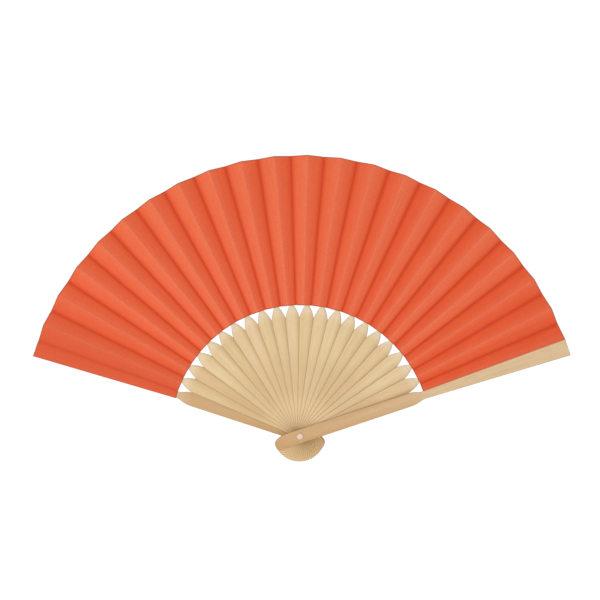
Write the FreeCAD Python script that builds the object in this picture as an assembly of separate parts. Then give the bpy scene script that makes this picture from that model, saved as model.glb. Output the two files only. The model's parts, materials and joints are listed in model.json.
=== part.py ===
import FreeCAD, Part
import math
import os

# A pleated folding hand fan, standing open in the X-Z plane with its face towards -Y and its
# leaf towards +Z. The origin is the centre of the rivet that every stick turns on. Sticks are
# counted from the left: 0 is the back guard, 1 to RIB_COUNT are the ribs, and the last is the
# front guard, which lies nearest the viewer. Lengths are in millimetres and angles in degrees.

# Layout of the open fan
RIB_COUNT = 20
OPEN_ANGLE = 143.5          # between the two guards
TAIL_REACH = 18.0           # guards, from the rivet's centre to the end below it
LEAF_INNER_R = 89.5
LEAF_OUTER_R = 192.5

# Ribs: a flat bamboo blade up to the neck, then a thin slip glued behind the paper
RIB_T = 0.7
STICK_GAP = 0.1             # free play between neighbours along the rivet
RIB_TAIL_REACH = 17.8
RIB_TAIL_HALF_W = 4.4
RIB_WAIST_HALF_W = 2.45
RIB_WAIST_R = 12.0
RIB_SHOULDER_HALF_W = 4.95
SHOULDER_TO_LEAF = 10.0     # from the blade's widest place up to the leaf's lower edge
HEAD_SIDE_PULL = 2.4        # how far the blade's sides run on before its head rounds inwards
HEAD_NECK_PULL = 2.6        # how far below the neck the head already follows the neck's taper
NECK_LENGTH = 3.0           # the twisted stretch between the blade and the slip
NECK_HALF_W = 3.05
WAIST_PULL = 14.0           # shape of the curve from the waist out to the tail
TAIL_PULL = 8.4
SLIP_W = 3.55
SLIP_T = 0.3
SLIP_END_MARGIN = 4.5       # the slip stops this far inside the leaf's rim

# Guards: a stout blade as far as the leaf, then a thinner lath over the end pleat
GUARD_T = 2.0
GUARD_HALF_W = 4.6
GUARD_LATH_T = 0.95
GUARD_SHOULDER_DROP = 12.0  # length of the curve that narrows the blade below the leaf
GUARD_SHOULDER_PULL = 7.8   # the middle of that curve is this far up it
BACK_LATH_INSET = 0.4       # the back guard's lath is hidden behind the end pleat by this much
GUARD_TAIL_ROUND = 8.5      # the tail's upper corner is rounded over this length
GUARD_TAIL_CORNER = 2.6     # and its lower corner over this one

# Leaf: one sheet of paper, pleated twice to each stick
PAPER_T = 0.1
PLEAT_TILT = 22.8           # of a glued pleat out of the fan's plane
GLUE_GAP = 0.03             # glue line between paper and bamboo
CREASE_GAP = 0.01           # between neighbouring shares of the leaf, in degrees
END_PLEAT_LIFT = 0.3        # from the last rib's level to the pleat glued flat on a guard

# Rivet: a pin with a sunk rear head, and a domed cap pressed on its front end
RIVET_R = 1.25
RUNNING_CLEARANCE = 0.05
HEAD_R = 2.05
REAR_HEAD_T = 0.8
HEAD_SINK = 0.05            # the rear head stays this far below the back guard's face
SINK_CLEARANCE = 0.15
CAP_RIM_T = 0.45
CAP_DOME = 0.5
CAP_PLAY = 0.05
SPIGOT_R = 0.7
SPIGOT_LENGTH = 0.45
SPIGOT_CLEARANCE = 0.02

# Worked out from the above
STICK_COUNT = RIB_COUNT + 2
STICK_PITCH = OPEN_ANGLE / (STICK_COUNT - 1)
PLEAT_HALF = STICK_PITCH / 4
PLEAT_RISE = math.tan(math.radians(PLEAT_TILT)) * math.sin(math.radians(PLEAT_HALF))
PAPER_DEPTH = PAPER_T / math.cos(math.radians(PLEAT_TILT))
RIB_PITCH = RIB_T + STICK_GAP
OUTER_RIB_Y = RIB_PITCH * (RIB_COUNT - 1) / 2
GUARD_INNER_Y = OUTER_RIB_Y + RIB_T / 2 + STICK_GAP
GUARD_OUTER_Y = GUARD_INNER_Y + GUARD_T
END_PLEAT_Y = OUTER_RIB_Y + END_PLEAT_LIFT
NECK_BASE_R = LEAF_INNER_R - NECK_LENGTH
SHOULDER_R = LEAF_INNER_R - SHOULDER_TO_LEAF
GUARD_SHOULDER_R = LEAF_INNER_R - GUARD_SHOULDER_DROP
BORE_R = RIVET_R + RUNNING_CLEARANCE

ORIGIN = FreeCAD.Vector(0, 0, 0)
Y_AXIS = FreeCAD.Vector(0, 1, 0)


def stick_angle(stick):
    """Angle of a stick from +Z, positive to the right."""
    return STICK_PITCH * stick - OPEN_ANGLE / 2


def rib_y(stick):
    """Place of a rib's middle along the rivet. Each rib lies in front of its left neighbour."""
    return OUTER_RIB_Y - RIB_PITCH * (stick - 1)


def turned(shape, angle):
    placed = shape.copy()
    placed.rotate(ORIGIN, Y_AXIS, angle)
    return placed


def point(x, z):
    return FreeCAD.Vector(x, 0, z)


def curve(*poles):
    bezier = Part.BezierCurve()
    bezier.setPoles([point(x, z) for x, z in poles])
    return bezier.toShape()


def line(start, end):
    return Part.makeLine(point(*start), point(*end))


def arc(start, middle, end):
    return Part.Arc(point(*start), point(*middle), point(*end)).toShape()


def prism(edges, low_y, high_y):
    """The closed outline in the X-Z plane, given thickness from low_y to high_y."""
    face = Part.Face(Part.Wire(edges))
    face.translate(FreeCAD.Vector(0, low_y, 0))
    return face.extrude(FreeCAD.Vector(0, high_y - low_y, 0))


def bore(radius, low_y, high_y):
    return Part.makeCylinder(radius, high_y - low_y, FreeCAD.Vector(0, low_y, 0), Y_AXIS)


def section(half_width, thickness, tilt, set_back, z):
    """A rectangle across a stick at height z, its left edge raised towards -Y by the tilt."""
    along = FreeCAD.Vector(math.cos(math.radians(tilt)), math.sin(math.radians(tilt)), 0)
    back = FreeCAD.Vector(-along.y, along.x, 0)
    middle = back * set_back + FreeCAD.Vector(0, 0, z)
    corners = [
        middle + along * (half_width * across) + back * (thickness / 2 * through)
        for across, through in ((-1, -1), (1, -1), (1, 1), (-1, 1))
    ]
    return Part.makePolygon(corners + corners[:1])


def mirrored_outline(right_side):
    """Edges of an outline whose left side mirrors its right side, point by point."""
    edges = []
    for kind, poles in right_side:
        edges.append(kind(*poles))
        edges.append(kind(*[(-x, z) for x, z in poles]))
    return edges


def rib_blade():
    shoulder = (RIB_SHOULDER_HALF_W, SHOULDER_R)
    waist = (RIB_WAIST_HALF_W, RIB_WAIST_R)
    tail_z = RIB_TAIL_HALF_W - RIB_TAIL_REACH
    neck_taper = (NECK_HALF_W - SLIP_W / 2) / NECK_LENGTH
    head = (
        shoulder,
        (RIB_SHOULDER_HALF_W, SHOULDER_R + HEAD_SIDE_PULL),
        (NECK_HALF_W + neck_taper * HEAD_NECK_PULL, NECK_BASE_R - HEAD_NECK_PULL),
        (NECK_HALF_W, NECK_BASE_R),
    )
    flare = (
        waist,
        (RIB_WAIST_HALF_W, RIB_WAIST_R - WAIST_PULL),
        (RIB_TAIL_HALF_W, tail_z + TAIL_PULL),
        (RIB_TAIL_HALF_W, tail_z),
    )
    edges = mirrored_outline([(curve, head), (line, (shoulder, waist)), (curve, flare)])
    edges.append(line((-NECK_HALF_W, NECK_BASE_R), (NECK_HALF_W, NECK_BASE_R)))
    edges.append(arc((RIB_TAIL_HALF_W, tail_z), (0, -RIB_TAIL_REACH), (-RIB_TAIL_HALF_W, tail_z)))
    blade = prism(Part.sortEdges(edges)[0], -RIB_T / 2, RIB_T / 2)
    return blade.cut(bore(BORE_R, -RIB_T, RIB_T))


def rib_slip():
    """The neck and the slip: the neck turns the flat blade into the tilt of its pleat."""
    set_back = PAPER_T / 2 + GLUE_GAP + SLIP_T / 2
    base = section(NECK_HALF_W, RIB_T, 0, 0, NECK_BASE_R)
    root = section(SLIP_W / 2, SLIP_T, PLEAT_TILT, set_back, LEAF_INNER_R)
    tip = section(SLIP_W / 2, SLIP_T, PLEAT_TILT, set_back, LEAF_OUTER_R - SLIP_END_MARGIN)
    return Part.makeLoft([base, root], True, True).fuse(Part.makeLoft([root, tip], True, True))


def rib():
    return rib_blade().fuse(rib_slip()).removeSplitter()


def end_pleat_depth(radius):
    """Distance from the fan's middle plane to the pleat that is glued flat on a guard."""
    return END_PLEAT_Y + PLEAT_RISE * radius


def guard_tail(upper):
    """The end of the tail, and the blade's edges down to it. upper is -1 or +1, the sign of x
    on the side that is uppermost in the open fan, where the corner is rounded off the most."""
    round_z = GUARD_TAIL_ROUND - TAIL_REACH
    corner_z = GUARD_TAIL_CORNER - TAIL_REACH
    high_x = upper * GUARD_HALF_W
    end = (0, -TAIL_REACH)
    high_corner = ((high_x, round_z), (high_x, (round_z - TAIL_REACH) / 2), (high_x / 2, -TAIL_REACH), end)
    low_corner = ((-high_x, corner_z), (-high_x, -TAIL_REACH), (-high_x / 2, -TAIL_REACH), end)
    return [
        curve(*high_corner),
        curve(*low_corner),
        line((high_x, GUARD_SHOULDER_R), (high_x, round_z)),
        line((-high_x, GUARD_SHOULDER_R), (-high_x, corner_z)),
    ]


def guard_front_outline(side, lath_inset):
    """The guard seen from the front: parallel blade, curved shoulder, lath widening to the tip."""
    lath_spread = math.tan(math.radians(PLEAT_HALF))
    root_half = LEAF_INNER_R * lath_spread - lath_inset
    tip_half = LEAF_OUTER_R * lath_spread - lath_inset
    shoulder = (
        (GUARD_HALF_W, GUARD_SHOULDER_R),
        (GUARD_HALF_W, GUARD_SHOULDER_R + GUARD_SHOULDER_PULL),
        (root_half, GUARD_SHOULDER_R + GUARD_SHOULDER_PULL),
        (root_half, LEAF_INNER_R),
    )
    edges = mirrored_outline([
        (line, ((tip_half, LEAF_OUTER_R), (root_half, LEAF_INNER_R))),
        (curve, shoulder),
    ])
    edges.append(line((-tip_half, LEAF_OUTER_R), (tip_half, LEAF_OUTER_R)))
    return Part.sortEdges(edges + guard_tail(side))[0]


def guard(side, lath_inset):
    """side is +1 for the back guard and -1 for the front guard."""
    clear = PAPER_DEPTH / 2 + GLUE_GAP
    lath_root = end_pleat_depth(LEAF_INNER_R) + clear
    lath_tip = end_pleat_depth(LEAF_OUTER_R) + clear
    past_edge = 2 * GUARD_HALF_W
    past_face = 2 * GUARD_OUTER_Y
    profile = [
        (GUARD_INNER_Y, -TAIL_REACH),
        (GUARD_INNER_Y, GUARD_SHOULDER_R),
        (lath_root, LEAF_INNER_R - 1),
        (lath_tip, LEAF_OUTER_R),
        (lath_tip + GUARD_LATH_T, LEAF_OUTER_R),
        (lath_root + GUARD_LATH_T, LEAF_INNER_R),
        (GUARD_OUTER_Y, GUARD_SHOULDER_R),
        (GUARD_OUTER_Y, -TAIL_REACH),
    ]
    corners = [FreeCAD.Vector(-past_edge, side * y, z) for y, z in profile]
    side_face = Part.Face(Part.makePolygon(corners + corners[:1]))
    side_prism = side_face.extrude(FreeCAD.Vector(2 * past_edge, 0, 0))
    front_prism = prism(guard_front_outline(side, lath_inset), -past_face, past_face)
    blank = front_prism.common(side_prism)
    low, high = sorted((side * (GUARD_INNER_Y - 1), side * (GUARD_OUTER_Y + 1)))
    return blank.cut(bore(BORE_R, low, high))


def back_guard():
    sink_depth = REAR_HEAD_T + HEAD_SINK
    sink = bore(HEAD_R + SINK_CLEARANCE, GUARD_OUTER_Y - sink_depth, GUARD_OUTER_Y + 1)
    return turned(guard(1, BACK_LATH_INSET).cut(sink), stick_angle(0))


def front_guard():
    return turned(guard(-1, 0.0), stick_angle(STICK_COUNT - 1))


def rivet_pin():
    head_low = GUARD_OUTER_Y - HEAD_SINK - REAR_HEAD_T
    front = -(GUARD_OUTER_Y + CAP_PLAY)
    head = bore(HEAD_R, head_low, head_low + REAR_HEAD_T)
    shaft = bore(RIVET_R, front, head_low)
    spigot = bore(SPIGOT_R, front - SPIGOT_LENGTH, front)
    return head.fuse(shaft).fuse(spigot).removeSplitter()


def rivet_cap():
    """The domed cap, with a blind hole for the pin's spigot."""
    seat = -(GUARD_OUTER_Y + CAP_PLAY)
    top = seat - CAP_RIM_T - CAP_DOME
    ball_r = (HEAD_R ** 2 + CAP_DOME ** 2) / (2 * CAP_DOME)
    ball = Part.makeSphere(ball_r, FreeCAD.Vector(0, top + ball_r, 0))
    hole_end = seat - SPIGOT_LENGTH - SPIGOT_CLEARANCE
    hole = bore(SPIGOT_R + SPIGOT_CLEARANCE, hole_end, seat)
    return bore(HEAD_R, top, seat).common(ball).cut(hole)


def crease(stick, side):
    """A function from radius to a point on a crease of the pleat that is glued to a stick.

    side is -1 for the ridge at its left and +1 for the furrow at its right."""
    angle = math.radians(stick_angle(stick) + side * PLEAT_HALF)

    def at(radius):
        if stick == 0:
            y = end_pleat_depth(radius)
        elif stick == STICK_COUNT - 1:
            y = -end_pleat_depth(radius)
        else:
            y = rib_y(stick) + side * PLEAT_RISE * radius
        return FreeCAD.Vector(radius * math.sin(angle), y, radius * math.cos(angle))

    return at


def eased(at, degrees):
    """The same crease, turned a little about the rivet."""
    turn = FreeCAD.Rotation(Y_AXIS, degrees)
    return lambda radius: turn.multVec(at(radius))


def pleat(left, right):
    """A flat panel of paper between two creases."""
    half = FreeCAD.Vector(0, PAPER_DEPTH / 2, 0)
    sections = []
    for radius in (LEAF_INNER_R, LEAF_OUTER_R):
        a, b = left(radius), right(radius)
        sections.append(Part.makePolygon([a - half, b - half, b + half, a + half, a - half]))
    return Part.makeLoft(sections, True, True)


def leaf_share(stick):
    """A stick's share of the leaf: its glued pleat, and the free pleat on its right."""
    ridge, furrow = crease(stick, -1), crease(stick, 1)
    glued = pleat(eased(ridge, CREASE_GAP), furrow)
    if stick == STICK_COUNT - 1:
        return glued
    free = pleat(furrow, eased(crease(stick + 1, -1), -CREASE_GAP))
    return glued.fuse(free).removeSplitter()


def save(node, shape):
    shape.exportStep("parts/" + node + ".step")


def main():
    os.makedirs("parts", exist_ok=True)
    save("back_guard", back_guard())
    save("front_guard", front_guard())
    save("rivet_pin", rivet_pin())
    save("rivet_cap", rivet_cap())
    blank = rib()
    for stick in range(1, RIB_COUNT + 1):
        placed = turned(blank, stick_angle(stick))
        placed.translate(FreeCAD.Vector(0, rib_y(stick), 0))
        save(f"rib_{stick:02d}", placed)
    for stick in range(STICK_COUNT):
        save(f"leaf_pleat_{stick + 1:02d}", leaf_share(stick))


main()
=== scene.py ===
import json
import math

import bpy
from mathutils import Matrix, Vector, noise

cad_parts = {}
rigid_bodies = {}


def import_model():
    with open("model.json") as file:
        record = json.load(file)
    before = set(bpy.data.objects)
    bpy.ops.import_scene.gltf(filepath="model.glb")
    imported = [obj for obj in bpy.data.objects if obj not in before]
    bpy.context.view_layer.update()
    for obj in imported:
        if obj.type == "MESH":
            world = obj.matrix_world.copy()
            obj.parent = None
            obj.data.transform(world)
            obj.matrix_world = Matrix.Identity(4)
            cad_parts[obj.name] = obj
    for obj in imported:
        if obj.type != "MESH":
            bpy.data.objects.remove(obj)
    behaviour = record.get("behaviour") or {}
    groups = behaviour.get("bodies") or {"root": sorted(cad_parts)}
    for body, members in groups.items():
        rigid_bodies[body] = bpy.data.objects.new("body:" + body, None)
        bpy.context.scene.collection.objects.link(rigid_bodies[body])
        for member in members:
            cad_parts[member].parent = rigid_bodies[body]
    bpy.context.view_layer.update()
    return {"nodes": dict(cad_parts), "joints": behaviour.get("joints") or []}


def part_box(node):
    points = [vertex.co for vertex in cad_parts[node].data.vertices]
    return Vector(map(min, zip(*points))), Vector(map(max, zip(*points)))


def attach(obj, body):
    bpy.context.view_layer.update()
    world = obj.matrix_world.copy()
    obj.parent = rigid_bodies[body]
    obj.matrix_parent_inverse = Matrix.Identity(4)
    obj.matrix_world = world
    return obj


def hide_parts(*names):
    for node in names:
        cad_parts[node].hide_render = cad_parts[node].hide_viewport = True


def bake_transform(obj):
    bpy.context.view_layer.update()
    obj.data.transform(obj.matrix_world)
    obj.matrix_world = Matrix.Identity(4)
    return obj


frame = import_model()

# Looks of a pleated folding fan: bamboo guards and ribs, an orange paper leaf and a pale rivet.
# The fan stands open in the X-Z plane and faces -Y, with its rivet's centre at the origin.
# Lengths are in metres.

MM = 0.001

# The sticks from the left, back guard first, and each one's angle from +Z towards +X
JOINTS = frame["joints"]
STICKS = [JOINTS[0]["parent"]] + [joint["child"] for joint in JOINTS]
STICK_PITCH = math.radians(JOINTS[0]["range_deg"][1])
STICK_ANGLES = [STICK_PITCH * (k - (len(STICKS) - 1) / 2) for k in range(len(STICKS))]
LAST = len(STICKS) - 1

# Paper leaf
PAPER_THICKNESS = 0.14 * MM
FOLD_REACH = 0.5 * MM          # how far a crease's rounding runs into the pleats beside it
FOLD_STEPS = (0.0, 0.25, 0.5, 0.75, 1.0)
FOLD_WEIGHTS = (0.0, 0.7, 1.0, 0.7, 0.0)
FREE_PLEAT_BOW = 0.25 * MM     # free pleats hang back by up to 1.3 times this at their middle
PLEAT_ROWS = 20
RIM_BAND = 0.8 * MM            # the cut edge's darker band
CREASE_WANDER = 0.22 * MM      # a crease strays less than this, sideways and in depth
RIM_WAVE = 0.28 * MM           # the scale of the rim's wave, ridges out and furrows in
WAVE_STILL_AT = 0.35           # the place along a crease, 0 to 1, that the wave leaves alone
GLUED_COLUMNS = (0.2, 0.4, 0.6, 0.8)
END_COLUMNS = (0.0, 0.02, 0.04)    # two narrow columns at the leaf's cut end
FREE_COLUMNS = 9               # a share's last columns: furrow, middle and half the next ridge
END_SHADE = {0: 1.4, 1: 0.5}    # how much painted shade darkens the first two shares

# Bamboo sticks: their edges are rubbed round, and a rib's face is a little crowned
RIB_EDGE_RADIUS = 0.13 * MM
GUARD_EDGE_RADIUS = 0.45 * MM
RIB_CROWN = 0.20 * MM
CROWN_POWER = 2.2
CROWN_LINES = (-0.8, -0.6, -0.4, -0.2, 0.0, 0.2, 0.4, 0.6, 0.8)
CROWN_RUN_OUT = 0.5 * MM       # the crown ends this far above a rib's head
FLAT_WITHIN = 0.02 * MM
EDGE_SHADE_BAND = 0.45 * MM          # the band of painted shade along a stick's edges
RIB_BAND_TOP = 0.9             # faces centred below this share of the shoulder's height are banded
HEAD_LENGTH = 7.0 * MM         # from a rib's shoulder up to its twisted neck
TAIL_HALF_WIDTH = 4.4 * MM
TAIL_HEIGHT = -8.0 * MM
OUTLINE_BEYOND = 1.9 * MM      # a blade's outline is farther than this from its centre line
FACING_FRONT = 0.97            # the least that a flat face's normal has along Y
NECK_FACING = 0.5              # the same for the twisted neck

# Where sticks have darkened in the hand
STAINED_RIBS = 2
RIB_STAIN = 0.12
GUARD_STAIN = 0.58
STAIN_TOP = 92 * MM
STAIN_FADE = 14 * MM
TAIL_STAIN = 0.22              # added to the guard's
TAIL_STAIN_TOP = -10 * MM
TAIL_STAIN_FADE = 6 * MM

# Rivet cap
CAP_SIDES = 64
CAP_DOME = 0.5 * MM
CAP_RINGS = 7
CAP_ROUNDING = 0.12 * MM


# ---------------------------------------------------------------- node helpers

def new_material(name):
    material = bpy.data.materials.new(name)
    material.use_nodes = True
    return material, material.node_tree.nodes, material.node_tree.links


def place(nodes, kind, **settings):
    """A node with its properties and, under names with a leading underscore, its inputs set."""
    node = nodes.new(kind)
    for key, value in settings.items():
        if key.startswith("_"):
            node.inputs[key[1:].replace("_", " ")].default_value = value
        else:
            setattr(node, key, value)
    return node


def mix_colour(nodes, links, factor, first, second):
    """A colour mix. Each input is a socket, or a value to set."""
    node = place(nodes, "ShaderNodeMix", data_type="RGBA")
    for socket, value in ((node.inputs[0], factor), (node.inputs[6], first), (node.inputs[7], second)):
        if isinstance(value, bpy.types.NodeSocket):
            links.new(value, socket)
        else:
            socket.default_value = (*value, 1.0)
    return node.outputs[2]


def arithmetic(nodes, links, operation, *values, clamp=False):
    node = place(nodes, "ShaderNodeMath", operation=operation, use_clamp=clamp)
    for socket, value in zip(node.inputs, values):
        if isinstance(value, bpy.types.NodeSocket):
            links.new(value, socket)
        else:
            socket.default_value = value
    return node.outputs[0]


def spread(nodes, links, value, source=(0.0, 1.0), target=(0.0, 1.0), smooth=False):
    """The stretch `source` of a value spread over `target`, and held at both ends."""
    kind = "SMOOTHSTEP" if smooth else "LINEAR"
    node = place(nodes, "ShaderNodeMapRange", interpolation_type=kind)
    for label, number in zip(("From Min", "From Max", "To Min", "To Max"), (*source, *target)):
        node.inputs[label].default_value = number
    links.new(value, node.inputs["Value"])
    return node.outputs[0]


def painted(nodes, name):
    """The number that a piece's points carry under this name."""
    return place(nodes, "ShaderNodeAttribute", attribute_name=name).outputs["Fac"]


def tinted(nodes, links, colour, *effects):
    """A colour after several effects, each a mask, its strength and the tint that it mixes in."""
    for mask, strength, tint in effects:
        factor = arithmetic(nodes, links, "MULTIPLY", mask, strength, clamp=True)
        colour = mix_colour(nodes, links, factor, colour, tint)
    return colour


def set_relief(surface, nodes, links, height, strength, distance):
    """Fine relief from a height, as a bump."""
    bump = place(nodes, "ShaderNodeBump", _Strength=strength, _Distance=distance)
    links.new(height, bump.inputs["Height"])
    links.new(bump.outputs[0], surface.inputs["Normal"])


def new_group(name, inputs, outputs):
    """A shader node group. inputs are (name, socket type, default) and outputs (name, type)."""
    group = bpy.data.node_groups.new(name, "ShaderNodeTree")
    for label, kind, default in inputs:
        socket = group.interface.new_socket(name=label, in_out="INPUT", socket_type=kind)
        if default is not None:
            socket.default_value = default
    for label, kind in outputs:
        group.interface.new_socket(name=label, in_out="OUTPUT", socket_type=kind)
    inside = group.nodes.new("NodeGroupInput")
    outside = group.nodes.new("NodeGroupOutput")
    return group, group.nodes, group.links, inside.outputs, outside.inputs


def use_group(nodes, group, **values):
    node = nodes.new("ShaderNodeGroup")
    node.node_tree = group
    for key, value in values.items():
        node.inputs[key.replace("_", " ")].default_value = value
    return node


# ---------------------------------------------------------------- shared effects

FLECK_SHORTNESS = 3.0          # how much shorter a fleck is than a fibre of its width


def long_grain_group():
    """Noise drawn out along Z: broad bands, fine fibres and short dark flecks, each 0 to 1."""
    group, nodes, links, given, result = new_group(
        "long_grain",
        [("Place", "NodeSocketVector", None),
         ("Fibre width", "NodeSocketFloat", 0.00025),
         ("Draw", "NodeSocketFloat", 45.0)],
        [("Bands", "NodeSocketFloat"), ("Fibres", "NodeSocketFloat"), ("Flecks", "NodeSocketFloat")])
    # Each with its width in fibres, its detail and the noise levels that count as 0 and 1
    for output, width_share, detail, levels in (
            ("Bands", 9.0, 2.0, (0.35, 0.68)),
            ("Fibres", 1.0, 4.0, (0.3, 0.72)),
            ("Flecks", 1.3, 1.0, (0.66, 0.76))):
        across = arithmetic(nodes, links, "DIVIDE", 1.0 / width_share, given["Fibre width"])
        along = arithmetic(nodes, links, "DIVIDE", across, given["Draw"])
        if output == "Flecks":
            along = arithmetic(nodes, links, "MULTIPLY", along, FLECK_SHORTNESS)
        scale = place(nodes, "ShaderNodeCombineXYZ")
        for socket, value in zip(scale.inputs, (across, across, along)):
            links.new(value, socket)
        stretched = place(nodes, "ShaderNodeVectorMath", operation="MULTIPLY")
        links.new(given["Place"], stretched.inputs[0])
        links.new(scale.outputs[0], stretched.inputs[1])
        pattern = place(nodes, "ShaderNodeTexNoise", _Scale=1.0, _Detail=detail, _Roughness=0.55)
        links.new(stretched.outputs[0], pattern.inputs["Vector"])
        links.new(spread(nodes, links, pattern.outputs[0], levels, smooth=True), result[output])
    return group


def mottle_group():
    """Soft cloudiness and a fine tooth, each 0 to 1."""
    group, nodes, links, given, result = new_group(
        "mottle",
        [("Place", "NodeSocketVector", None),
         ("Cloud size", "NodeSocketFloat", 0.012),
         ("Tooth size", "NodeSocketFloat", 0.0004)],
        [("Cloud", "NodeSocketFloat"), ("Tooth", "NodeSocketFloat")])
    for output in ("Cloud", "Tooth"):
        pattern = place(nodes, "ShaderNodeTexNoise", _Detail=3.0, _Roughness=0.6)
        links.new(given["Place"], pattern.inputs["Vector"])
        fineness = arithmetic(nodes, links, "DIVIDE", 1.0, given[output + " size"])
        links.new(fineness, pattern.inputs["Scale"])
        links.new(spread(nodes, links, pattern.outputs[0], (0.3, 0.7)), result[output])
    return group


LONG_GRAIN = long_grain_group()
MOTTLE = mottle_group()


# ---------------------------------------------------------------- materials

# Tones along a rib, each from one height to another above the rivet, in millimetres: deeper on
# the lower blade, paler about the rivet and at the tail as painted light that lifts the shade there, and
# paler and greyer at the neck
RIB_TONES_AND_LIGHT = (
    (68, 42, 0.27, (0.52, 0.33, 0.155)),
    (34, 16, 0.75, (0.80, 0.585, 0.33)),
    (-2, -8, 0.85, (0.90, 0.63, 0.33)),
    (80, 89, 1.0, (0.78, 0.63, 0.44)))

# How far bands, fibres and a stick's own draw take bamboo from its pale colour to its deep one
BAND_DEPTH = 0.22
FIBRE_DEPTH = 0.42
STICK_DEPTH = 0.22
PALEST_STICK = -0.03
BAMBOO_ROUGHNESS_SPREAD = 0.16


def bamboo(name, pale, deep, fleck, roughness, coat, fibre_width, edge_shading, right_shade_depth, tones_and_light=()):
    """Split bamboo, read in each stick's own frame, with a tone of its own for every stick.

    A stick's right side is darkened with painted shade, and so are its edges."""
    material, nodes, links = new_material(name)
    surface = nodes["Principled BSDF"]
    laid = place(nodes, "ShaderNodeAttribute", attribute_name="grain_place").outputs["Vector"]
    grain = use_group(nodes, LONG_GRAIN, Fibre_width=fibre_width)
    links.new(laid, grain.inputs["Place"])
    mottle = use_group(nodes, MOTTLE, Cloud_size=0.02)
    links.new(laid, mottle.inputs["Place"])

    depth = arithmetic(nodes, links, "MULTIPLY", grain.outputs["Bands"], BAND_DEPTH)
    fine = arithmetic(nodes, links, "MULTIPLY", grain.outputs["Fibres"], FIBRE_DEPTH)
    depth = arithmetic(nodes, links, "ADD", depth, fine)
    own = arithmetic(nodes, links, "MULTIPLY_ADD", painted(nodes, "stick_tone"), STICK_DEPTH, PALEST_STICK)
    depth = arithmetic(nodes, links, "ADD", depth, own, clamp=True)
    colour = mix_colour(nodes, links, depth, pale, deep)
    pink = arithmetic(nodes, links, "MULTIPLY", painted(nodes, "stick_warmth"), mottle.outputs["Cloud"])
    colour = tinted(nodes, links, colour,
                    (grain.outputs["Flecks"], 0.35, fleck),
                    (pink, 0.40, (0.80, 0.52, 0.33)),
                    (painted(nodes, "stain"), 1.0, (0.52, 0.27, 0.085)))
    height = painted(nodes, "height")
    # Among these, the paler tones about the rivet and at the tail are painted light that lifts the shade
    # there.
    for start_mm, end_mm, strength, tone in tones_and_light:
        share = spread(nodes, links, height, (start_mm * MM, end_mm * MM), smooth=True)
        colour = tinted(nodes, links, colour, (share, strength, tone))
    # Painted shade: each stick is darker towards its right side, where the next stick lies over it, and
    # along its edges.
    right_shade = spread(nodes, links, painted(nodes, "right_side"), (0.05, 0.95), smooth=True)
    colour = tinted(nodes, links, colour,
                    (right_shade, right_shade_depth, (0.50, 0.315, 0.13)),
                    (painted(nodes, "painted_edge_shade"), edge_shading, (0.36, 0.22, 0.10)))
    links.new(colour, surface.inputs["Base Color"])

    rough = (roughness, roughness + BAMBOO_ROUGHNESS_SPREAD)
    links.new(spread(nodes, links, grain.outputs["Fibres"], target=rough), surface.inputs["Roughness"])
    set_relief(surface, nodes, links, grain.outputs["Fibres"], 0.35, 0.06 * MM)
    surface.inputs["Coat Weight"].default_value = coat
    surface.inputs["Coat Roughness"].default_value = 0.35
    surface.inputs["Specular IOR Level"].default_value = 0.35
    return material


def leaf_paper():
    """Dyed paper with visible fibres, with painted light and shade: each pleat lighter for the way it
    faces the light, lighter towards its ridges and darker in its furrows.
    """
    material, nodes, links = new_material("orange_leaf_paper")
    surface = nodes["Principled BSDF"]
    where = place(nodes, "ShaderNodeTexCoord")
    mottle = use_group(nodes, MOTTLE, Cloud_size=0.014, Tooth_size=0.0012)
    links.new(where.outputs["Object"], mottle.inputs["Place"])
    laid = place(nodes, "ShaderNodeAttribute", attribute_name="grain_place").outputs["Vector"]
    pulp = use_group(nodes, LONG_GRAIN, Fibre_width=0.00022, Draw=7.0)
    links.new(laid, pulp.inputs["Place"])
    streaks = use_group(nodes, LONG_GRAIN, Fibre_width=0.0007, Draw=60.0)
    links.new(laid, streaks.inputs["Place"])

    dye = mix_colour(nodes, links, mottle.outputs["Cloud"], (0.78, 0.098, 0.026), (0.83, 0.116, 0.034))
    fold = painted(nodes, "fold")
    lean = painted(nodes, "lean")
    # Painted shade that deepens towards the furrows, softly and then steeply.
    furrow_shade = arithmetic(nodes, links, "MULTIPLY", lean, -1.0, clamp=True)
    soft_furrow_shade = arithmetic(nodes, links, "POWER", furrow_shade, 1.5)
    deep = arithmetic(nodes, links, "POWER", furrow_shade, 4.0)
    # Painted light and shade: pleats lit for the way they face, lighter towards ridges, darker towards
    # furrows, a painted highlight on ridges, painted shade in furrows and on the first two shares.
    colour = tinted(nodes, links, dye,
                    (painted(nodes, "rubbed"), 1.0, (0.84, 0.160, 0.062)),
                    (streaks.outputs["Fibres"], 0.34, (0.70, 0.082, 0.020)),
                    (lean, 0.32, (0.86, 0.215, 0.118)),
                    (soft_furrow_shade, 0.55, (0.80, 0.088, 0.018)),
                    (deep, 0.9, (0.62, 0.050, 0.008)),
                    (pulp.outputs["Flecks"], 0.32, (0.93, 0.30, 0.15)),
                    (mottle.outputs["Tooth"], 0.30, (0.66, 0.088, 0.024)),
                    (fold, 0.18, (0.92, 0.27, 0.15)),
                    (fold, -0.55, (0.58, 0.050, 0.010)),
                    (painted(nodes, "wear"), 0.4, (0.62, 0.082, 0.026)),
                    (painted(nodes, "rim"), 0.7, (0.32, 0.085, 0.035)))
    links.new(colour, surface.inputs["Base Color"])

    tooth = mottle.outputs["Tooth"]
    links.new(spread(nodes, links, tooth, target=(0.72, 0.88)), surface.inputs["Roughness"])
    height = arithmetic(nodes, links, "MULTIPLY_ADD", pulp.outputs["Fibres"], 0.5, tooth)
    set_relief(surface, nodes, links, height, 0.3, 0.05 * MM)
    surface.inputs["Specular IOR Level"].default_value = 0.25
    surface.inputs["Sheen Weight"].default_value = 0.08
    surface.inputs["Sheen Roughness"].default_value = 0.6
    return material


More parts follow.
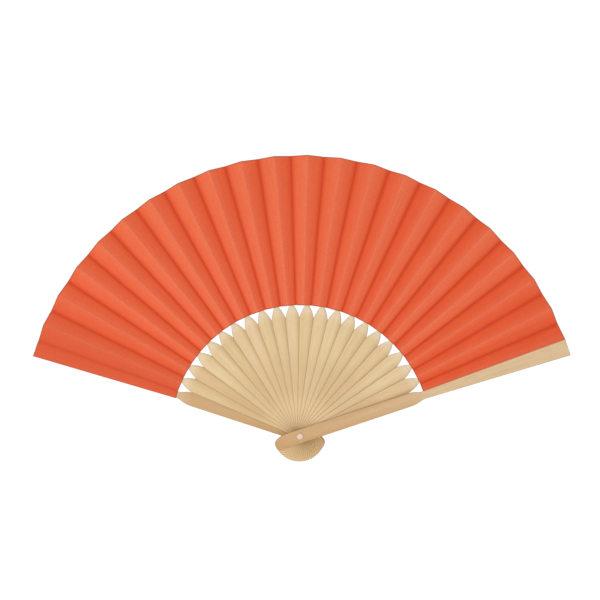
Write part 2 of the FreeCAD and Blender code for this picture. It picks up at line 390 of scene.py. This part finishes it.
def rivet_plastic():
    """Pale, faintly cloudy plastic that lets a little light in."""
    material, nodes, links = new_material("pale_rivet_plastic")
    surface = nodes["Principled BSDF"]
    where = place(nodes, "ShaderNodeTexCoord")
    mottle = use_group(nodes, MOTTLE, Cloud_size=0.003, Tooth_size=0.0002)
    links.new(where.outputs["Object"], mottle.inputs["Place"])
    colour = mix_colour(nodes, links, mottle.outputs["Cloud"], (0.70, 0.53, 0.43), (0.76, 0.60, 0.50))
    links.new(colour, surface.inputs["Base Color"])
    tooth = mottle.outputs["Tooth"]
    links.new(spread(nodes, links, tooth, target=(0.32, 0.45)), surface.inputs["Roughness"])
    set_relief(surface, nodes, links, tooth, 0.15, 0.03 * MM)
    surface.inputs["Subsurface Weight"].default_value = 0.15
    surface.inputs["Subsurface Radius"].default_value = (0.0012, 0.0008, 0.0006)
    return material


RIB_BAMBOO = bamboo(
    "scraped_rib_bamboo",
    pale=(0.765, 0.580, 0.330), deep=(0.600, 0.395, 0.168), fleck=(0.42, 0.26, 0.11),
    roughness=0.52, coat=0.0, fibre_width=0.00022, edge_shading=0.72, right_shade_depth=0.42,
    tones_and_light=RIB_TONES_AND_LIGHT)
GUARD_BAMBOO = bamboo(
    "polished_guard_bamboo",
    pale=(0.69, 0.50, 0.285), deep=(0.51, 0.325, 0.145), fleck=(0.38, 0.23, 0.10),
    roughness=0.42, coat=0.12, fibre_width=0.00028, edge_shading=0.5, right_shade_depth=0.12)
LEAF_PAPER = leaf_paper()
RIVET_PLASTIC = rivet_plastic()


# ---------------------------------------------------------------- modelling helpers

def linked(name, mesh):
    piece = bpy.data.objects.new(name, mesh)
    bpy.context.scene.collection.objects.link(piece)
    return piece


def only(piece):
    """Nothing but this piece selected, and active."""
    bpy.ops.object.select_all(action="DESELECT")
    piece.select_set(True)
    bpy.context.view_layer.objects.active = piece


def paint(piece, material):
    piece.data.materials.clear()
    piece.data.materials.append(material)


def clamped(value, low=0.0, high=1.0):
    return min(max(value, low), high)


def write_floats(mesh, name, values):
    mesh.attributes.new(name, "FLOAT", "POINT").data.foreach_set("value", values)


def own_random(stick, salt):
    """A number from 0 to 1 that belongs to a stick."""
    return noise.cell(Vector((stick * 3.7 + 0.5, salt * 5.3 + 0.5, 0.5)))


def write_grain(piece, stick):
    """Every point's place in its stick's own upright frame, set off so that no two sticks match."""
    upright = Matrix.Rotation(-STICK_ANGLES[stick], 3, "Y")
    offset = Vector((0.013 * stick, 0.0, 0.31 * stick))
    places = [upright @ vertex.co + offset for vertex in piece.data.vertices]
    attribute = piece.data.attributes.new("grain_place", "FLOAT_VECTOR", "POINT")
    attribute.data.foreach_set("vector", [value for spot in places for value in spot])


# ---------------------------------------------------------------- sticks

def handling_stain(stick, height):
    """How far a stick has darkened where it is held: the guards' blades, most of all at the
    tail, and the first ribs a little."""
    if 0 < stick < LAST:
        return RIB_STAIN if stick <= STAINED_RIBS else 0.0
    blade = clamped((STAIN_TOP - height) / STAIN_FADE)
    tail = clamped((TAIL_STAIN_TOP - height) / TAIL_STAIN_FADE)
    return GUARD_STAIN * blade + TAIL_STAIN * tail


def rib_widths():
    """A rib blade's waist and shoulder in its own frame, each as (half width, height)."""
    upright = Matrix.Rotation(-STICK_ANGLES[1], 3, "Y")
    spots = [upright @ vertex.co for vertex in frame["nodes"][STICKS[1]].data.vertices]
    shoulder = max(spots, key=lambda spot: spot.x if spot.z > 0 else 0.0)
    outline = [spot for spot in spots if 0 < spot.z < shoulder.z and spot.x > OUTLINE_BEYOND]
    waist = min(outline, key=lambda spot: spot.x)
    return (waist.x, waist.z), (shoulder.x, shoulder.z)


WAIST, SHOULDER = rib_widths()
TAPER = (SHOULDER[0] - WAIST[0]) / (SHOULDER[1] - WAIST[1])
TAPER_APEX = WAIST[1] - WAIST[0] / TAPER


def blade_half_width(height):
    """Half the width that a rib's crown is spread over."""
    if height >= WAIST[1]:
        return WAIST[0] + TAPER * (height - WAIST[1])
    down = min((WAIST[1] - height) / (WAIST[1] - TAIL_HEIGHT), 1.0)
    return WAIST[0] + (TAIL_HALF_WIDTH - WAIST[0]) * down


def outline_band(piece, top):
    """Insets the flat front faces centred nearer to the rivet than `top`, as a band."""
    bpy.ops.mesh.select_all(action="DESELECT")
    bpy.ops.object.mode_set(mode="OBJECT")
    for polygon in piece.data.polygons:
        polygon.select = polygon.normal.y < -FACING_FRONT and polygon.center.length < top
    bpy.ops.object.mode_set(mode="EDIT")
    bpy.ops.mesh.inset(thickness=EDGE_SHADE_BAND, depth=0.0)


def crown_rib(piece, stick):
    """Cuts lines along a rib's blade and lets its front face fall away towards its edges."""
    turn = Matrix.Rotation(STICK_ANGLES[stick], 3, "Y")
    for line in CROWN_LINES:
        slope = line * TAPER
        bpy.ops.mesh.select_all(action="SELECT")
        bpy.ops.mesh.bisect(plane_co=turn @ Vector((0, 0, TAPER_APEX)),
                            plane_no=turn @ Vector((1, 0, -slope)).normalized())
    bpy.ops.object.mode_set(mode="OBJECT")
    upright = turn.transposed()
    front = min(vertex.co.y for vertex in piece.data.vertices if (upright @ vertex.co).z < SHOULDER[1])
    crown_top = SHOULDER[1] + HEAD_LENGTH + CROWN_RUN_OUT
    for vertex in piece.data.vertices:
        spot = upright @ vertex.co
        if spot.z < crown_top and vertex.co.y < front + FLAT_WITHIN:
            share = min(abs(spot.x) / blade_half_width(spot.z), 1.0)
            vertex.co.y += RIB_CROWN * share ** CROWN_POWER
    bpy.ops.object.mode_set(mode="EDIT")


def round_edges(piece, width, angle, smooth_below):
    """Bevels the edges sharper than `angle` and shades the rest smooth, angles in degrees."""
    rounding = piece.modifiers.new("rounding", "BEVEL")
    rounding.width = width
    rounding.segments = 3
    rounding.limit_method = "ANGLE"
    rounding.angle_limit = math.radians(angle)
    bpy.ops.object.modifier_apply(modifier="rounding")
    bpy.ops.object.shade_smooth_by_angle(angle=math.radians(smooth_below))


def write_stick_tones(piece, stick):
    """What the bamboo reads at every point of a stick: its edges for painted shade, its side, its height
    and its stain.
    """
    is_rib = 0 < stick < LAST
    mesh = piece.data
    upright = Matrix.Rotation(-STICK_ANGLES[stick], 3, "Y")
    spots = [upright @ vertex.co for vertex in mesh.vertices]
    # Points on a stick's edges are marked for painted edge shade.
    edges = [0.0] * len(spots)
    for polygon in mesh.polygons:
        on_neck = is_rib and (upright @ polygon.center).z > SHOULDER[1] + HEAD_LENGTH
        if abs(polygon.normal.y) < (NECK_FACING if on_neck else FACING_FRONT):
            for corner in polygon.vertices:
                edges[corner] = 1.0
    write_grain(piece, stick)
    write_floats(mesh, "painted_edge_shade", edges)
    write_floats(mesh, "right_side", [clamped(spot.x / blade_half_width(spot.z), -1.0) for spot in spots])
    write_floats(mesh, "stick_tone", [own_random(stick, 1)] * len(spots))
    write_floats(mesh, "stick_warmth", [own_random(stick, 2)] * len(spots))
    write_floats(mesh, "stain", [handling_stain(stick, spot.z) for spot in spots])
    write_floats(mesh, "height", [spot.z for spot in spots])


def stick_piece(stick, name, edge_radius, material):
    """A stick with its flat faces whole and its edges rounded, in place of its CAD node."""
    node_name = STICKS[stick]
    piece = linked(name, frame["nodes"][node_name].data.copy())
    only(piece)
    bpy.ops.object.mode_set(mode="EDIT")
    bpy.ops.mesh.select_mode(type="FACE")
    bpy.ops.mesh.select_all(action="SELECT")
    bpy.ops.mesh.remove_doubles(threshold=0.002 * MM)
    bpy.ops.mesh.dissolve_limited(angle_limit=math.radians(0.6))
    if 0 < stick < LAST:
        outline_band(piece, RIB_BAND_TOP * SHOULDER[1])
        crown_rib(piece, stick)
    else:
        outline_band(piece, math.inf)
    bpy.ops.mesh.select_all(action="DESELECT")
    bpy.ops.object.mode_set(mode="OBJECT")
    round_edges(piece, edge_radius, 35, 30)
    paint(piece, material)
    write_stick_tones(piece, stick)
    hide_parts(node_name)
    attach(piece, node_name)


for number in range(1, LAST):
    stick_piece(number, f"rib_stick_{number:02d}", RIB_EDGE_RADIUS, RIB_BAMBOO)
stick_piece(0, "back_guard_stick", GUARD_EDGE_RADIUS, GUARD_BAMBOO)
stick_piece(LAST, "front_guard_stick", GUARD_EDGE_RADIUS, GUARD_BAMBOO)


# ---------------------------------------------------------------- leaf

def cad_crease(node_name, angle):
    """The inner and outer ends of a leaf node's crease at this angle, at mid paper."""
    spots = [vertex.co for vertex in frame["nodes"][node_name].data.vertices
             if abs(math.atan2(vertex.co.x, vertex.co.z) - angle) < math.radians(0.04)]
    radii = [math.hypot(spot.x, spot.z) for spot in spots]
    ends = []
    for radius in (min(radii), max(radii)):
        depths = [spot.y for spot, reach in zip(spots, radii) if abs(reach - radius) < 0.2 * MM]
        ends.append(Vector((radius * math.sin(angle), (min(depths) + max(depths)) / 2,
                            radius * math.cos(angle))))
    return ends


def all_creases():
    """Every crease of the leaf from left to right: ridge and furrow in turn."""
    creases = []
    for stick, angle in enumerate(STICK_ANGLES):
        node_name = f"leaf_pleat_{stick + 1:02d}"
        creases += [cad_crease(node_name, angle + side * STICK_PITCH / 4) for side in (-1, 1)]
    return creases


CREASES = all_creases()


def crease_point(index, share):
    """A point on a crease, 0 at the leaf's inner edge and 1 at its rim, a little out of true."""
    inner, outer = CREASES[index]
    spot = inner.lerp(outer, share)
    along = (outer - inner).normalized()
    sideways = Vector((along.z, 0, -along.x))
    if 0 < index < len(CREASES) - 2:
        wander = noise.noise(Vector((index * 5.1, share * 3.0, 2.0)))
        depth = noise.noise(Vector((index * 4.3, share * 2.2, 9.0)))
        spot += sideways * (wander * CREASE_WANDER)
        spot.y += depth * CREASE_WANDER
    wave = RIM_WAVE if index % 2 == 0 else -RIM_WAVE
    uneven = noise.noise(Vector((index * 3.1, 7.0, 4.0))) * RIM_WAVE
    spot += along * ((wave + uneven) * (share - WAVE_STILL_AT))
    return spot


def rounded_corner(before, corner, after):
    """Points round a crease, from the pleat before it to the pleat after it."""
    start = corner + (before - corner).normalized() * FOLD_REACH
    end = corner + (after - corner).normalized() * FOLD_REACH
    return [start.lerp(corner, t).lerp(corner.lerp(end, t), t) for t in FOLD_STEPS]


def corner_or_end(index, share):
    """The rounding of crease `index`, or the bare point where the leaf ends."""
    spot = crease_point(index, share)
    if index in (0, len(CREASES) - 1):
        return [spot] * len(FOLD_STEPS)
    before, after = crease_point(index - 1, share), crease_point(index + 1, share)
    return rounded_corner(before, spot, after)


def pleat_section(stick, share):
    """One row across a stick's share of the leaf, from ridge to furrow to the next ridge.

    Each entry is (point, fold, lean). fold is 1 on a ridge and -1 in a furrow, and lean runs
    evenly between them across the pleats."""
    first = 2 * stick
    ridge, furrow = corner_or_end(first, share), corner_or_end(first + 1, share)
    if first == 0:
        row = [(ridge[2].lerp(furrow[0], t), 0.0, 0.0) for t in END_COLUMNS]
    else:
        row = [(ridge[i], FOLD_WEIGHTS[i], 1.0) for i in (2, 3, 4)]
    row += [(ridge[4].lerp(furrow[0], t), 0.0, 1.0 - 2.0 * t) for t in GLUED_COLUMNS]
    if stick == LAST:
        return row + [(furrow[0], 0.0, -0.5)]
    row += [(spot, -weight, -1.0) for spot, weight in zip(furrow, FOLD_WEIGHTS)]
    after = corner_or_end(first + 2, share)
    middle = furrow[4].lerp(after[0], 0.5)
    bow = 0.7 + 0.9 * noise.noise(Vector((stick * 6.1, share * 2.5, 5.0)))
    middle.y += FREE_PLEAT_BOW * bow
    row.append((middle, 0.0, 0.0))
    return row + [(after[i], FOLD_WEIGHTS[i], 1.0) for i in range(3)]


def row_shares():
    """Places of the rows from the inner edge to the rim, with two narrow rows at each edge."""
    inner, outer = CREASES[0]
    band = RIM_BAND / (outer - inner).length
    middle = [i / PLEAT_ROWS for i in range(1, PLEAT_ROWS)]
    return [0.0, band / 2, band] + middle + [1.0 - band, 1.0 - band / 2, 1.0]


def pleat_light_lift(stick):
    """How much painted light lifts the two pleats of a share, the glued one and the free one.

    Towards the left the free pleats take it, and towards the right the glued ones."""
    rightward = clamped((stick - 10) / 4)
    glued = 0.1 if stick > LAST - 3 else 0.45 + 0.55 * rightward
    free = (1.0 - rightward) * min(0.2 + 0.18 * stick, 1.0)
    return glued, free


def paper_mesh(name, rows):
    """A smooth skin over rows of points, all of one length."""
    columns = len(rows[0])
    faces = []
    for low in range(len(rows) - 1):
        for left in range(columns - 1):
            corner = low * columns + left
            faces.append((corner, corner + 1, corner + 1 + columns, corner + columns))
    mesh = bpy.data.meshes.new(name)
    mesh.from_pydata([spot for row in rows for spot in row], [], faces)
    mesh.validate()
    for polygon in mesh.polygons:
        polygon.use_smooth = True
    return mesh


def leaf_piece(stick):
    """A stick's share of the leaf; the last share rides on its stick."""
    sections = [pleat_section(stick, share) for share in row_shares()]
    cells = [cell for section in sections for cell in section]
    rows = [[cell[0] for cell in section] for section in sections]
    columns = len(rows[0])
    name = f"leaf_paper_{stick + 1:02d}"
    mesh = paper_mesh(name, rows)
    piece = linked(name, mesh)
    write_floats(mesh, "fold", [cell[1] for cell in cells])
    write_floats(mesh, "lean", [cell[2] for cell in cells])
    cut_rows = (0, 1, len(rows) - 2, len(rows) - 1)
    write_floats(mesh, "rim", [float(row in cut_rows or stick == 0 and column < 2)
                               for row in range(len(rows)) for column in range(columns)])
    # Painted light: each pleat is made lighter for the way it faces the light.
    glued, free = pleat_light_lift(stick)
    glued_columns = columns if stick == LAST else columns - FREE_COLUMNS
    rubbed = [glued] * glued_columns + [free] * (columns - glued_columns)
    write_floats(mesh, "rubbed", rubbed * len(rows))
    # Painted shade darkens the first two shares, which lie flatter at the leaf's end.
    write_floats(mesh, "wear", [END_SHADE.get(stick, 0.0)] * len(cells))
    write_grain(piece, stick)
    paint(piece, LEAF_PAPER)
    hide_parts(f"leaf_pleat_{stick + 1:02d}")

    if stick == LAST:
        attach(piece, STICKS[stick])
    else:
        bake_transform(piece)
    thickness = piece.modifiers.new("thickness", "SOLIDIFY")
    thickness.thickness = PAPER_THICKNESS
    thickness.offset = 0.0


for number in range(len(STICKS)):
    leaf_piece(number)


# ---------------------------------------------------------------- rivet

def rivet_cap():
    """The cap's domed head, raised ring by ring from a disc, with a rounded rim."""
    low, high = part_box("rivet_cap")
    radius = (high.x - low.x) / 2
    depth = high.y - low.y - CAP_DOME
    bpy.ops.object.select_all(action="DESELECT")
    bpy.ops.mesh.primitive_cylinder_add(
        vertices=CAP_SIDES, radius=radius, depth=depth,
        location=(0, high.y - depth / 2, 0), rotation=(math.pi / 2, 0, 0))
    piece = bpy.context.object
    piece.name = piece.data.name = "rivet_dome"
    bpy.ops.object.transform_apply(location=True, rotation=True, scale=True)
    bpy.ops.object.mode_set(mode="EDIT")
    bpy.ops.mesh.select_mode(type="FACE")
    bpy.ops.mesh.select_all(action="DESELECT")
    bpy.ops.object.mode_set(mode="OBJECT")
    front = min(piece.data.polygons, key=lambda face: face.center.y)
    front.select = True
    bpy.ops.object.mode_set(mode="EDIT")
    ring_radius, reached = radius, 0.0
    for ring in range(1, CAP_RINGS + 1):
        angle = math.pi / 2 * ring / (CAP_RINGS + 1)
        bpy.ops.mesh.inset(thickness=ring_radius - radius * math.cos(angle), depth=0.0)
        ring_radius = radius * math.cos(angle)
        rise = CAP_DOME * math.sin(angle) - reached
        reached += rise
        bpy.ops.transform.translate(value=(0, -rise, 0))
    bpy.ops.mesh.select_all(action="DESELECT")
    bpy.ops.object.mode_set(mode="OBJECT")
    round_edges(piece, CAP_ROUNDING, 50, 40)
    paint(piece, RIVET_PLASTIC)
    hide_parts("rivet_cap")
    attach(piece, "back_guard")


rivet_cap()
paint(frame["nodes"]["rivet_pin"], RIVET_PLASTIC)


# ---------------------------------------------------------------- studio

FLOOR_Z = -0.75
FLOOR_HALF = 4.0
FLOOR_GLOW = 0.36              # brings the floor up to the white of the air around it
CAMERA_DISTANCE = 1.4
VIEW_WIDTH = 0.4122
VIEW_CENTRE = Vector((0.0003, 0.0, 0.0931))
CAMERA_ROLL = math.radians(0.2)
SENSOR_MM = 36.0
AIR_WHITE = 1.02               # the air as the camera sees it
AIR_AMBIENT = 0.69             # the air as light


def floor():
    """A pale floor far below the fan, which glows to the camera only."""
    bpy.ops.mesh.primitive_plane_add(size=2 * FLOOR_HALF, location=(0, 0, FLOOR_Z))
    piece = bpy.context.object
    piece.name = "studio_floor"
    material, nodes, links = new_material("pale_floor")
    where = place(nodes, "ShaderNodeTexCoord")
    mottle = use_group(nodes, MOTTLE, Cloud_size=0.2)
    links.new(where.outputs["Object"], mottle.inputs["Place"])
    colour = mix_colour(nodes, links, mottle.outputs["Cloud"], (0.87, 0.87, 0.87), (0.89, 0.89, 0.885))
    surface = nodes["Principled BSDF"]
    links.new(colour, surface.inputs["Base Color"])
    surface.inputs["Roughness"].default_value = 0.8
    path = nodes.new("ShaderNodeLightPath")
    glow = arithmetic(nodes, links, "MULTIPLY", path.outputs["Is Camera Ray"], FLOOR_GLOW)
    surface.inputs["Emission Color"].default_value = (1, 1, 1, 1)
    links.new(glow, surface.inputs["Emission Strength"])
    paint(piece, material)


def area_light(name, place_at, size, power):
    """A square white lamp aimed at the fan, unseen by the camera."""
    light = bpy.data.lights.new(name, "AREA")
    light.shape = "SQUARE"
    light.size = size
    light.energy = power
    lamp = linked(name, light)
    lamp.location = place_at
    lamp.visible_camera = False
    aim = VIEW_CENTRE - Vector(place_at)
    lamp.rotation_euler = aim.to_track_quat("-Z", "Y").to_euler()


def world():
    """White to the camera, and softer as light."""
    scene_world = bpy.data.worlds.new("studio_air")
    scene_world.use_nodes = True
    nodes, links = scene_world.node_tree.nodes, scene_world.node_tree.links
    background = nodes["Background"]
    background.inputs["Color"].default_value = (1, 1, 1, 1)
    path = nodes.new("ShaderNodeLightPath")
    strength = arithmetic(nodes, links, "MULTIPLY_ADD", path.outputs["Is Camera Ray"],
                          AIR_WHITE - AIR_AMBIENT, AIR_AMBIENT)
    links.new(strength, background.inputs["Strength"])
    bpy.context.scene.world = scene_world


def camera():
    """Straight in front of the fan, with the view as wide as VIEW_WIDTH at the rivet's plane."""
    lens_data = bpy.data.cameras.new("studio_camera")
    lens_data.sensor_width = SENSOR_MM
    lens_data.lens = SENSOR_MM * CAMERA_DISTANCE / VIEW_WIDTH
    lens_data.clip_start = 0.01
    view = linked("studio_camera", lens_data)
    view.location = VIEW_CENTRE - Vector((0, CAMERA_DISTANCE, 0))
    view.rotation_euler = (math.pi / 2, CAMERA_ROLL, 0)
    bpy.context.scene.camera = view


floor()
world()
area_light("key_low_left", (-0.75, -1.0, -0.38), 0.6, 4.1)
area_light("front_fill", (0.1, -1.6, 0.0), 0.7, 4.5)
area_light("rear_fill", (0.5, 1.8, 0.6), 1.4, 8.0)
camera()
bpy.context.scene.view_settings.view_transform = "Standard"
